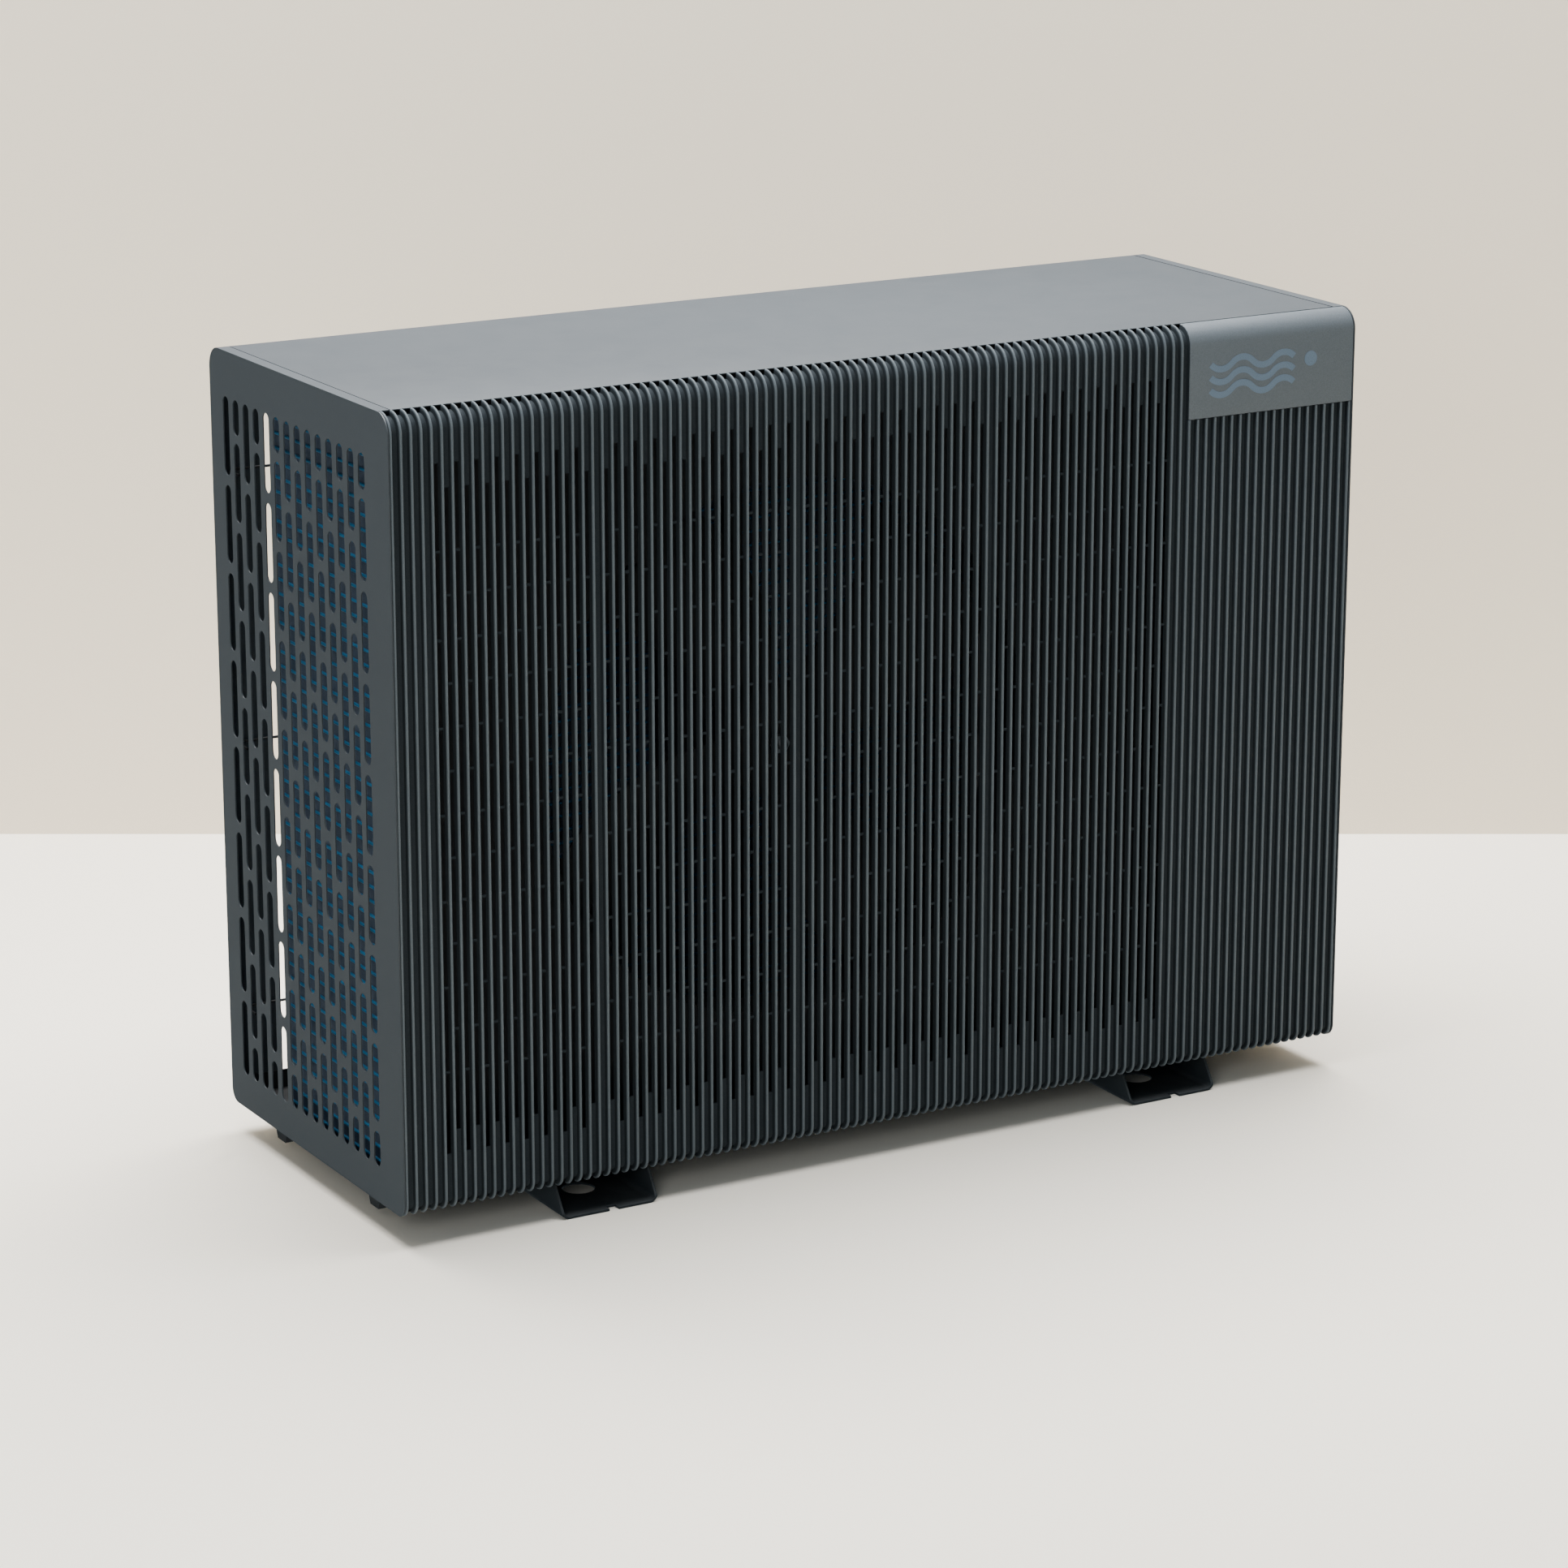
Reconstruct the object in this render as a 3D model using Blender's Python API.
"""Air-source pool heat pump unit: a slotted sheet casing on two feet, with fan, coils, compressor and water side.

Everything is laid out in casing coordinates: x from the left side, y from the front, z from the underside.
The last step moves it all so that the origin is the middle of the underside of the feet.
"""

import math

import bmesh
import bpy
from mathutils import Matrix, Vector

# Casing
WIDTH = 1.200
DEPTH = 0.444
HEIGHT = 0.860
SHEET = 0.0015
TOP_RADIUS = 0.023
BOTTOM_RADIUS = 0.015
CORNER_STEPS = 2
FIT = 0.0003
SEAM = 0.001
OVERLAP = 0.0004
CUT = 0.020
ROUNDING = 0.01
SHARP_ANGLE = 35
TOP_FLANGE = 0.014
REAR_FLANGE = 0.057

# Ribbed front panel
RIB_PITCH = 0.01146
RIB_DEPTH = 0.006
RIB_CREST = 0.0026
RIB_FOOT = 0.0042
FRONT_WALL = 0.002
BLOCK_SLOTS = 21
FIRST_SLOT = 4
SLOT_TOP = 0.0567
SLOT_BOTTOM = 0.062
SLOT_STAGGER = 0.0259
SLOT_TO_PARTITION = 0.008
PLATE_RIBS = 20
PLATE_DROP = 0.1045
PLATE_WALL = 0.0022
BADGE_SIZE = (0.150, 0.0006, 0.046)
BADGE_CORNER = (0.025, 0.020)

# Slots of the left side
SIDE_PITCH = 0.0261
SIDE_FIRST = 0.0641
SIDE_SLOT_WIDTH = 0.016
SIDE_SLOT_LONG = 0.0869
SIDE_SLOT_SHORT = 0.0391
SIDE_SLOT_WEB = 0.0107
SIDE_SLOT_BOTTOM = 0.0402
SIDE_SLOT_TOP = 0.0497
SIDE_LAST = 0.0406

# Base and feet
BASE_FLOOR_Z = 0.0023
BASE_SHEET = 0.002
BASE_WALL = 0.025
BASE_RIBS = ((0.085, 0.034), (0.323, 0.034))
BASE_RIB_DROP = 0.013
BASE_RIB_LENGTH = 0.120
BASE_RIB_GAP = 0.003
BASE_RIB_SLOPE = 0.007
FOOT_DROP = 0.036
FOOT_FROM_SIDES = (0.244, 0.226)
FOOT_WIDTH = 0.116
FOOT_SHEET = 0.003
FOOT_BEND = 0.009
FOOT_SLANT = 0.023
FOOT_HOLE = 0.018
FOOT_HOLE_FROM_END = 0.074
FOOT_NOTCH = (0.011, 0.010)
FOOT_NOTCH_SHIFT = 0.005
FOOT_LIP = 0.004
DRAIN_RADIUS = 0.010
DRAIN_FLANGE = 0.006
DRAIN_DROP = 0.022
DRAIN_X = 0.560

# Air side
COIL_DEPTH = 0.044
SIDE_COIL_X = 0.018
SIDE_COIL_ENDS = (0.040, 0.326)
REAR_COIL_LEFT = 0.100
COIL_MARGIN = 0.004
PARTITION_GAP = 0.002
GUARD_WIRE = 0.003
GUARD_BOTTOM = 0.030
GUARD_TOP_GAP = 0.006
GUARD_LEVEL_ENDS = (0.078, 0.110)
GUARD_FROM_SIDE = 0.0985
GUARD_TO_PARTITION = 0.004
GUARD_HOOK_X = 0.0135
GUARD_HOOK_DEPTH = 0.034
GUARD_UPRIGHTS = 10
GUARD_TO_COIL = 0.007
TUBE_PLATE_GAP = 0.022
TUBE_PLATE_LAP = 0.003
BEND_REACH = 0.012
BEND_RISE = 0.050
BEND_RADIUS = 0.005
BEND_COUNT = 4
FAN_RADIUS = 0.290
FAN_HUB_RADIUS = 0.060
FAN_HUB_DEPTH = 0.060
FAN_BLADES = 4
FAN_TILT = 28
FAN_TIP_GAP = 0.010
FAN_ROOT_CHORD = 0.038
FAN_TIP_CHORD = 0.098
FAN_UNTWIST = 10
FAN_SWEEP = 0.28
FAN_START = 0.4
BLADE_HALF = 0.0015
BLADE_ROOT = 0.006
BLADE_STEPS = 4
BLADE_FLATTEN = 0.9
FAN_OFFSET = (-0.01285, 0.002)
FAN_FRONT = 0.085
SHROUD_FRONT = 0.060
SHROUD_DEPTH = 0.060
SHROUD_RIM = 0.003
SHAFT_RADIUS = 0.006
SHAFT_CLEARANCE = 0.0001
SHAFT_IN_MOTOR = 0.060
SHAFT_FRONT = 0.014
FAN_NUT_RADIUS = 0.011
FAN_NUT_DEPTH = 0.010
FAN_TO_MOTOR = 0.012
MOTOR_NOSE = (0.018, 0.006)
MOTOR_EDGE = 0.006
MOTOR_RADIUS = 0.065
MOTOR_DEPTH = 0.100
BRACKET_WIDTH = 0.110
BRACKET_BAR = 0.022
BRACKET_DEPTH = 0.012
BRACKET_CROSS = (0.045, 0.015, 0.004)
CROSS_INSET = 0.005

# Compressor bay
COMPRESSOR_RADIUS = 0.072
COMPRESSOR_LENGTH = 0.320
COMPRESSOR_GAP = 0.0008
COMPRESSOR_FROM_FRONT = 0.032
COMPRESSOR_PLATE = 0.004
SUMP_INSET = 0.020
SUMP_EDGE = 0.006
SUMP_RISE = 0.030
DOME_RISE = 0.045
DOME_EDGE = 0.012
DOME_SHOULDER = 0.015
DOME_INSET = 0.040
GROMMET_RADIUS = 0.012
GROMMET_HEIGHT = 0.016
GROMMET_OUT = 0.016
GROMMET_INSET = 0.8
TERMINAL_COVER = (0.044, 0.022, 0.060)
TERMINAL_LEVEL = 0.120
ACCUMULATOR_RADIUS = 0.034
ACCUMULATOR_LENGTH = 0.220
ACCUMULATOR_GAP = 0.010
ACCUMULATOR_LIFT = 0.060
ACCUMULATOR_MARGIN = 0.01149
ACCUMULATOR_END = (0.022, 0.020)
EXCHANGER_RADIUS = 0.072
EXCHANGER_LENGTH = 0.480
EXCHANGER_Y = 0.325
EXCHANGER_LIFT = 0.035
EXCHANGER_STAND = 0.045
EXCHANGER_EDGE = 0.012
WATER_FROM_ENDS = 0.070
VALVE_RADIUS = 0.018
VALVE_HALF_LENGTH = 0.050
VALVE_PORT = 0.030
VALVE_SHIFT = 0.020
VALVE_BEHIND = 0.155
VALVE_BELOW = 0.040
VALVE_COIL = (0.036, 0.0277)
DRIER_RADIUS = 0.020
DRIER_LENGTH = 0.124
DRIER_FROM_SIDE = 0.034
DRIER_BEHIND = 0.125
DRIER_LIFT = 0.020
DRIER_TAPER = 0.014
EXPANSION_NECK = (0.010, 0.022)
EXPANSION_HEAD = (0.016, 0.038)
EXPANSION_EDGE = 0.004
LIQUID_RUN = 0.060
TUBE_RADIUS = 0.008
TUBE_BEND = 0.016
SMALL_TUBE = 0.005
SMALL_BEND = 0.010
DISCHARGE_ABOVE = 0.055
SUCTION_BELOW = 0.060
HOT_GAS_ABOVE = 0.045

# Water tails and unions
WATER_RADIUS = 0.025
WATER_WALL = 0.003
WATER_COLLAR = 0.004
WATER_REACH = 0.045
WATER_STUB_GAP = 0.014
WATER_HOLE_GAP = 0.003
WATER_SHIFT = 0.004
WATER_BORE = 0.004
STUB_START = 0.020
UNION_RADIUS = 0.039
UNION_DEPTH = 0.026
UNION_GAP = 0.003
NUT_CLEARANCE = 0.0003

# Electrical box, its openings and the screws
BOX_SIZE = (0.190, 0.360, 0.190)
BOX_DROP = 0.030
BOX_GAP = 0.004
BOX_FROM_FRONT = 0.020
BOARD_INSET = 0.020
BOARD_FROM_FRONT = 0.150
BOARD_SHEET = 0.0016
SINK_SIZE = (0.070, 0.090, 0.035)
SINK_PLACE = (0.020, 0.030)
SINK_BASE = 0.006
SINK_PITCH = 0.012
SINK_GAP = 0.007
SINK_FIRST = 0.008
SINK_GAPS = 5
BLOCK_SIZE = (0.110, 0.028, 0.022)
BLOCK_PLACE = 0.030
GLAND_RADIUS = 0.012
GLAND_ABOVE_WATER = (0.110, 0.155)
GLAND_NECK = 0.002
GLAND_BEHIND = 0.012
GLAND_NUT = 0.007
GLAND_STEP = 0.002
GLAND_CAP = 0.020
GLAND_REACH = 0.023
SCREW_RADIUS = 0.0045
SCREW_RIM = 0.0012
SCREW_HEAD = 0.0022
SCREW_CROWN = 0.003
SCREW_INSET = 0.010
SCREW_LEVELS = (0.030, 0.020)
COVER_SIZE = (0.230, 0.170)
COVER_LAP = 0.012
COVER_DEPTH = 0.010
COVER_WALL = 0.002
COVER_DROP = 0.010

GROMMET_RING = COMPRESSOR_RADIUS + GROMMET_OUT
PLATE_REACH = GROMMET_RING * math.cos(math.pi / 6)
COMPRESSOR_BAY = SHEET + COMPRESSOR_GAP + PLATE_REACH + COMPRESSOR_RADIUS + 2 * ACCUMULATOR_RADIUS
COMPRESSOR_BAY += ACCUMULATOR_GAP + ACCUMULATOR_MARGIN
COMPRESSOR_Y = COMPRESSOR_FROM_FRONT + GROMMET_RING
PARTITION_X = WIDTH - COMPRESSOR_BAY
BASE_TOP = BASE_FLOOR_Z + BASE_SHEET
ROOF_UNDER = HEIGHT - SHEET
BAY_X = PARTITION_X + (COMPRESSOR_BAY - SHEET) / 2
LOW_WATER_Z = BASE_TOP + EXCHANGER_LIFT + WATER_FROM_ENDS
HIGH_WATER_Z = LOW_WATER_Z + EXCHANGER_LENGTH - 2 * WATER_FROM_ENDS
FOOT_CENTRES = (FOOT_FROM_SIDES[0], WIDTH - FOOT_FROM_SIDES[1])


def material(name, colour, metallic, roughness):
    made = bpy.data.materials.new(name)
    made.use_nodes = True
    shader = made.node_tree.nodes["Principled BSDF"]
    shader.inputs["Base Color"].default_value = (*colour, 1.0)
    shader.inputs["Metallic"].default_value = metallic
    shader.inputs["Roughness"].default_value = roughness
    return made


FINISHES = {
    "casing": ((0.075, 0.085, 0.095), 0.0, 0.55),
    "plate": ((0.14, 0.15, 0.16), 0.0, 0.5),
    "badge": ((0.25, 0.32, 0.38), 0.3, 0.4),
    "galvanised": ((0.45, 0.47, 0.48), 0.9, 0.45),
    "coil": ((0.10, 0.20, 0.28), 0.6, 0.4),
    "copper": ((0.72, 0.33, 0.18), 1.0, 0.35),
    "black": ((0.02, 0.02, 0.022), 0.0, 0.5),
    "grey_plastic": ((0.25, 0.26, 0.27), 0.0, 0.5),
    "steel": ((0.5, 0.5, 0.5), 1.0, 0.35),
    "rubber": ((0.015, 0.015, 0.015), 0.0, 0.8),
    "board": ((0.02, 0.14, 0.06), 0.0, 0.5),
    "aluminium": ((0.75, 0.76, 0.77), 1.0, 0.35),
    "brass": ((0.65, 0.50, 0.20), 1.0, 0.35),
}


def solid(name, build, finish):
    """A mesh object from a function that fills a bmesh, with its faces turned outwards."""
    shape = bmesh.new()
    build(shape)
    bmesh.ops.recalc_face_normals(shape, faces=shape.faces)
    data = bpy.data.meshes.new(name)
    shape.to_mesh(data)
    shape.free()
    made = bpy.data.objects.new(name, data)
    bpy.context.scene.collection.objects.link(made)
    if finish:
        data.materials.append(material(name, *FINISHES[finish]))
    return made


def add_prism(shape, outline, axis, low, high):
    """Adds an outline of (a, b) points extruded along axis 0, 1 or 2; a and b run along the other two, in order."""
    rings = []
    for level in (low, high):
        ring = []
        for a, b in outline:
            point = [a, b]
            point.insert(axis, level)
            ring.append(shape.verts.new(point))
        rings.append(ring)
    count = len(outline)
    for i in range(count):
        j = (i + 1) % count
        shape.faces.new((rings[0][i], rings[0][j], rings[1][j], rings[1][i]))
    shape.faces.new(rings[0])
    shape.faces.new(rings[1])


def prism(name, outline, axis, low, high, finish=None):
    return solid(name, lambda shape: add_prism(shape, outline, axis, low, high), finish)


def box(name, low, high, finish=None):
    corners = ((low[0], low[1]), (high[0], low[1]), (high[0], high[1]), (low[0], high[1]))
    return prism(name, corners, 2, low[2], high[2], finish)


def circle(centre, radius, sides, start=0.0):
    turns = [start + 2 * math.pi * i / sides for i in range(sides)]
    return [(centre[0] + radius * math.cos(t), centre[1] + radius * math.sin(t)) for t in turns]


def rod(name, centre, radius, axis, low, high, sides, finish=None):
    return prism(name, circle(centre, radius, sides, math.pi / sides), axis, low, high, finish)


def turned(name, centre, profile, axis, sides, finish=None):
    """A solid of revolution: profile holds (radius, level) pairs from end to end, closed at both ends."""

    def build(shape):
        rings = []
        for radius, level in profile:
            ring = []
            for a, b in circle(centre, radius, sides, math.pi / sides):
                point = [a, b]
                point.insert(axis, level)
                ring.append(shape.verts.new(point))
            rings.append(ring)
        for near, far in zip(rings, rings[1:]):
            for i in range(sides):
                j = (i + 1) % sides
                shape.faces.new((near[i], near[j], far[j], far[i]))
        shape.faces.new(rings[0])
        shape.faces.new(rings[-1])

    return solid(name, build, finish)


def cut(target, cutter):
    cutter.hide_render = True
    cutter.display_type = "WIRE"
    modifier = target.modifiers.new("Cut " + cutter.name, "BOOLEAN")
    modifier.operation = "DIFFERENCE"
    modifier.solver = "EXACT"
    modifier.object = cutter


def join(target, piece):
    piece.hide_render = True
    piece.display_type = "WIRE"
    modifier = target.modifiers.new("Join " + piece.name, "BOOLEAN")
    modifier.operation = "UNION"
    modifier.solver = "EXACT"
    modifier.object = piece


def smooth_path(points, bend):
    """The points with each inner corner rounded to an arc of the given radius."""
    points = [Vector(p) for p in points]
    path = [points[0]]
    for before, corner, after in zip(points, points[1:], points[2:]):
        back, ahead = (before - corner).normalized(), (after - corner).normalized()
        half = back.angle(ahead) / 2
        reach = bend / math.tan(half)
        centre = corner + (back + ahead).normalized() * (bend / math.sin(half))
        first, last = corner + back * reach - centre, corner + ahead * reach - centre
        for share in (0, 1 / 3, 2 / 3, 1):
            path.append(centre + bend * first.normalized().slerp(last.normalized(), share))
    path.append(points[-1])
    return path


def pipe(name, points, radius, bend, finish, sides=8):
    """A solid round bar swept along rounded corners."""
    path = smooth_path(points, bend)

    def build(shape):
        ahead = (path[1] - path[0]).normalized()
        across = ahead.orthogonal().normalized()
        rings = []
        for i, point in enumerate(path):
            to_here = (point - path[i - 1]).normalized() if i else ahead
            to_next = (path[i + 1] - point).normalized() if i + 1 < len(path) else to_here
            tangent = (to_here + to_next).normalized()
            across = (across - tangent * across.dot(tangent)).normalized()
            other = tangent.cross(across)
            turns = [2 * math.pi * (k + 0.5) / sides for k in range(sides)]
            ring = [point + radius * (across * math.cos(t) + other * math.sin(t)) for t in turns]
            rings.append([shape.verts.new(p) for p in ring])
        for near, far in zip(rings, rings[1:]):
            for k in range(sides):
                m = (k + 1) % sides
                shape.faces.new((near[k], near[m], far[m], far[k]))
        shape.faces.new(rings[0])
        shape.faces.new(rings[-1])

    return solid(name, build, finish)


def arc(centre, radius, first, last, steps):
    turns = [math.radians(first + (last - first) * i / steps) for i in range(steps + 1)]
    return [(centre[0] + radius * math.cos(t), centre[1] + radius * math.sin(t)) for t in turns]


def side_outline(inset, front=0.0):
    """The casing's side view as (y, z) points, moved in by inset, starting at front instead of the front plane."""
    near, far, low, high = front + inset, DEPTH - inset, inset, HEIGHT - inset
    top, bottom = TOP_RADIUS - inset, BOTTOM_RADIUS - inset
    outline = arc((near + bottom, low + bottom), bottom, 180, 270, CORNER_STEPS)
    outline += arc((far - bottom, low + bottom), bottom, 270, 360, CORNER_STEPS)
    outline += arc((far - top, high - top), top, 0, 90, CORNER_STEPS)
    outline += arc((near + top, high - top), top, 90, 180, CORNER_STEPS)
    return outline


for old in list(bpy.data.objects):
    bpy.data.objects.remove(old, do_unlink=True)

# Base pan: a tray with two pressed ribs at each end and a drain hole
BASE_LEFT, BASE_RIGHT = SHEET + FIT, WIDTH - SHEET - FIT
BASE_FRONT, BASE_REAR = BOTTOM_RADIUS + FIT, DEPTH - SHEET - FIT
RIB_ENDS = (
    (BASE_LEFT + BASE_RIB_GAP, BASE_LEFT + BASE_RIB_GAP + BASE_RIB_LENGTH),
    (BASE_RIGHT - BASE_RIB_GAP - BASE_RIB_LENGTH, BASE_RIGHT - BASE_RIB_GAP),
)
base_pan = box("base_pan", (BASE_LEFT, BASE_FRONT, BASE_FLOOR_Z), (BASE_RIGHT, BASE_REAR, BASE_WALL), "black")
inner_low = (BASE_LEFT + BASE_SHEET, BASE_FRONT + BASE_SHEET, BASE_TOP)
inner_high = (BASE_RIGHT - BASE_SHEET, BASE_REAR - BASE_SHEET, BASE_WALL + 0.01)
cut(base_pan, box("base_hollow", inner_low, inner_high))
for side, (rib_start, rib_end) in zip(("left", "right"), RIB_ENDS):
    for place, (rib_y, rib_width) in zip(("front", "rear"), BASE_RIBS):
        half, low = rib_width / 2, -BASE_RIB_DROP
        flat = half - BASE_RIB_SLOPE
        top = BASE_TOP - OVERLAP
        section = [(rib_y - half, top), (rib_y - flat, low), (rib_y + flat, low), (rib_y + half, top)]
        join(base_pan, prism(f"base_rib_{place}_{side}", section, 0, rib_start, rib_end))
DRAIN_CENTRE = (DRAIN_X, DEPTH / 2)
cut(base_pan, rod("drain_hole", DRAIN_CENTRE, DRAIN_RADIUS + FIT, 2, -CUT, CUT, 16))
drain_under = BASE_FLOOR_Z - FIT
drain_profile = [
    (DRAIN_RADIUS, -DRAIN_DROP), (DRAIN_RADIUS, drain_under - BASE_SHEET),
    (DRAIN_RADIUS + DRAIN_FLANGE, drain_under - BASE_SHEET), (DRAIN_RADIUS + DRAIN_FLANGE, drain_under),
    (DRAIN_RADIUS, drain_under), (DRAIN_RADIUS, BASE_TOP + 0.001),
]
drain_spout = turned("drain_spout", DRAIN_CENTRE, drain_profile, 2, 16, "black")
cut(drain_spout, rod("drain_bore", DRAIN_CENTRE, DRAIN_RADIUS - BASE_SHEET, 2, -0.05, 0.05, 16))

# Feet: U-shaped rails, open upwards, with a hole and a notch near each end
FOOT_TOP = BASE_FLOOR_Z - FIT
FOOT_UNDER = -FOOT_DROP


def foot_section(x):
    """The rail's U as (x, z) points: down its outer side and back up inside, a sheet further in."""
    half, level = FOOT_WIDTH / 2, FOOT_BEND - FOOT_DROP
    right, left = (x + half - FOOT_BEND, level), (x - half + FOOT_BEND, level)
    outer = [(x + half, FOOT_TOP), *arc(right, FOOT_BEND, 0, -90, 3), *arc(left, FOOT_BEND, -90, -180, 3)]
    outer.append((x - half, FOOT_TOP))
    bend = FOOT_BEND - FOOT_SHEET
    inner = [(x - half + FOOT_SHEET, FOOT_TOP), *arc(left, bend, -180, -90, 3), *arc(right, bend, -90, 0, 3)]
    inner.append((x + half - FOOT_SHEET, FOOT_TOP))
    return outer + inner


for foot_name, foot_x in zip(("foot_left", "foot_right"), FOOT_CENTRES):
    foot = prism(foot_name, foot_section(foot_x), 1, 0.0, DEPTH, "black")
    low, high = FOOT_UNDER + FOOT_SHEET + FOOT_LIP, FOOT_TOP + FOOT_LIP
    slant = [(-CUT, low), (0.0, low), (FOOT_SLANT, high), (-CUT, high)]
    wide = (foot_x - FOOT_WIDTH / 2 - CUT, foot_x + FOOT_WIDTH / 2 + CUT)
    cut(foot, prism(foot_name + "_slant_front", slant, 0, *wide))
    cut(foot, prism(foot_name + "_slant_rear", [(DEPTH - y, z) for y, z in slant], 0, *wide))
    for end, edge, hole_y in (("front", 0.0, FOOT_HOLE_FROM_END), ("rear", DEPTH, DEPTH - FOOT_HOLE_FROM_END)):
        under, over = FOOT_UNDER - CUT, FOOT_UNDER + FOOT_SHEET + FOOT_LIP / 2
        cut(foot, rod(f"{foot_name}_hole_{end}", (foot_x, hole_y), FOOT_HOLE, 2, under, over, 24))
        notch_x = foot_x + FOOT_NOTCH_SHIFT
        notch_low = (notch_x - FOOT_NOTCH[0] / 2, edge - FOOT_NOTCH[1], under)
        notch_high = (notch_x + FOOT_NOTCH[0] / 2, edge + FOOT_NOTCH[1], over)
        cut(foot, box(f"{foot_name}_notch_{end}", notch_low, notch_high))

# Side panels: a plate with its edges turned in, open at the front where the ribbed panel closes it


def side_panel(name, outer_x, inward):
    near, far = sorted((outer_x, outer_x + inward * TOP_FLANGE))
    panel = prism(name, side_outline(0.0), 0, near, far, "casing")
    low, high = sorted((outer_x + inward * SHEET, outer_x + inward * (TOP_FLANGE + CUT)))
    cut(panel, prism(name + "_hollow", side_outline(SHEET), 0, low, high))
    clear = TOP_RADIUS + FIT
    cut(panel, box(name + "_front_clear", (low, -CUT, -CUT), (high, clear, HEIGHT + CUT)))
    cut(panel, box(name + "_base_clear", (low, -CUT, -CUT), (high, DEPTH + CUT, BOTTOM_RADIUS)))
    start, end = sorted((outer_x + inward * (TOP_FLANGE - SEAM), outer_x + inward * REAR_FLANGE))
    rear_low, rear_high = (start, DEPTH - SHEET, BOTTOM_RADIUS), (end, DEPTH, HEIGHT - TOP_RADIUS)
    join(panel, box(name + "_rear_return", rear_low, rear_high))
    return panel


SIDE_STEP = SIDE_SLOT_LONG + SIDE_SLOT_WEB
SIDE_ROWS = int((HEIGHT - SIDE_SLOT_BOTTOM - SIDE_SLOT_TOP + SIDE_SLOT_WEB) / SIDE_STEP + ROUNDING)
SIDE_COLUMNS = int((DEPTH - SIDE_FIRST - SIDE_LAST) / SIDE_PITCH + ROUNDING) + 1


def add_slot(shape, y, low, length):
    half = SIDE_SLOT_WIDTH / 2
    outline = arc((y, low + length - half), half, 0, 180, 2) + arc((y, low + half), half, 180, 360, 2)
    add_prism(shape, outline, 0, -CUT, CUT)


def side_slots(shape):
    """Slots in staggered columns: odd columns hold long slots only, even ones start and end with a short slot."""
    top = SIDE_SLOT_BOTTOM + SIDE_ROWS * SIDE_STEP - SIDE_SLOT_WEB
    for column in range(SIDE_COLUMNS):
        y = SIDE_FIRST + column * SIDE_PITCH
        low, rows = SIDE_SLOT_BOTTOM, SIDE_ROWS
        if column % 2 == 0:
            add_slot(shape, y, low, SIDE_SLOT_SHORT)
            add_slot(shape, y, top - SIDE_SLOT_SHORT, SIDE_SLOT_SHORT)
            low, rows = low + SIDE_SLOT_SHORT + SIDE_SLOT_WEB, rows - 1
        for row in range(rows):
            add_slot(shape, y, low + row * SIDE_STEP, SIDE_SLOT_LONG)


left_panel = side_panel("left_panel", 0.0, 1)
cut(left_panel, solid("left_panel_slots", side_slots, None))
right_panel = side_panel("right_panel", WIDTH, -1)

# Top cover: a flat sheet between the side flanges, turned down over the rear edge
cover_left, cover_right = TOP_FLANGE + SEAM, WIDTH - TOP_FLANGE - SEAM
cover_front = TOP_RADIUS + SEAM
rear_centre = (DEPTH - TOP_RADIUS, HEIGHT - TOP_RADIUS)
cover_outline = [(cover_front, HEIGHT), *reversed(arc(rear_centre, TOP_RADIUS, 0, 90, CORNER_STEPS))]
cover_outline += arc(rear_centre, TOP_RADIUS - SHEET, 0, 90, CORNER_STEPS)
cover_outline += [(cover_front, ROOF_UNDER)]
top_cover = prism("top_cover", cover_outline, 0, cover_left, cover_right, "casing")

# Front panel: thin upright ribs that wrap over the top and under the bottom, slotted between the ribs
panel_left, panel_right = SHEET + FIT, WIDTH - SHEET - FIT
RIB_COUNT = int((panel_right - panel_left - RIB_FOOT) / RIB_PITCH) + 1
first_rib = panel_left + RIB_FOOT / 2
rib_x = [first_rib + i * RIB_PITCH for i in range(RIB_COUNT)]
levels = [HEIGHT - SLOT_TOP, HEIGHT - SLOT_TOP - SLOT_STAGGER, SLOT_BOTTOM + SLOT_STAGGER, SLOT_BOTTOM]


def front_path(inset):
    top, bottom = TOP_RADIUS - inset, BOTTOM_RADIUS - inset
    path = arc((TOP_RADIUS, HEIGHT - TOP_RADIUS), top, 90, 180, CORNER_STEPS)
    path += [(inset, level) for level in levels]
    return path + arc((BOTTOM_RADIUS, BOTTOM_RADIUS), bottom, 180, 270, CORNER_STEPS)


def is_open(gap, row):
    """True where the gap right of rib number gap is slotted, between two neighbouring levels."""
    if gap < FIRST_SLOT or (gap + 1) % BLOCK_SLOTS == 0:
        return False
    if rib_x[gap] + RIB_PITCH > PARTITION_X - SLOT_TO_PARTITION:
        return False
    first = CORNER_STEPS + 1
    return row == first + 1 or (row in (first, first + 2) and gap % 2 == 0)


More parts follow.
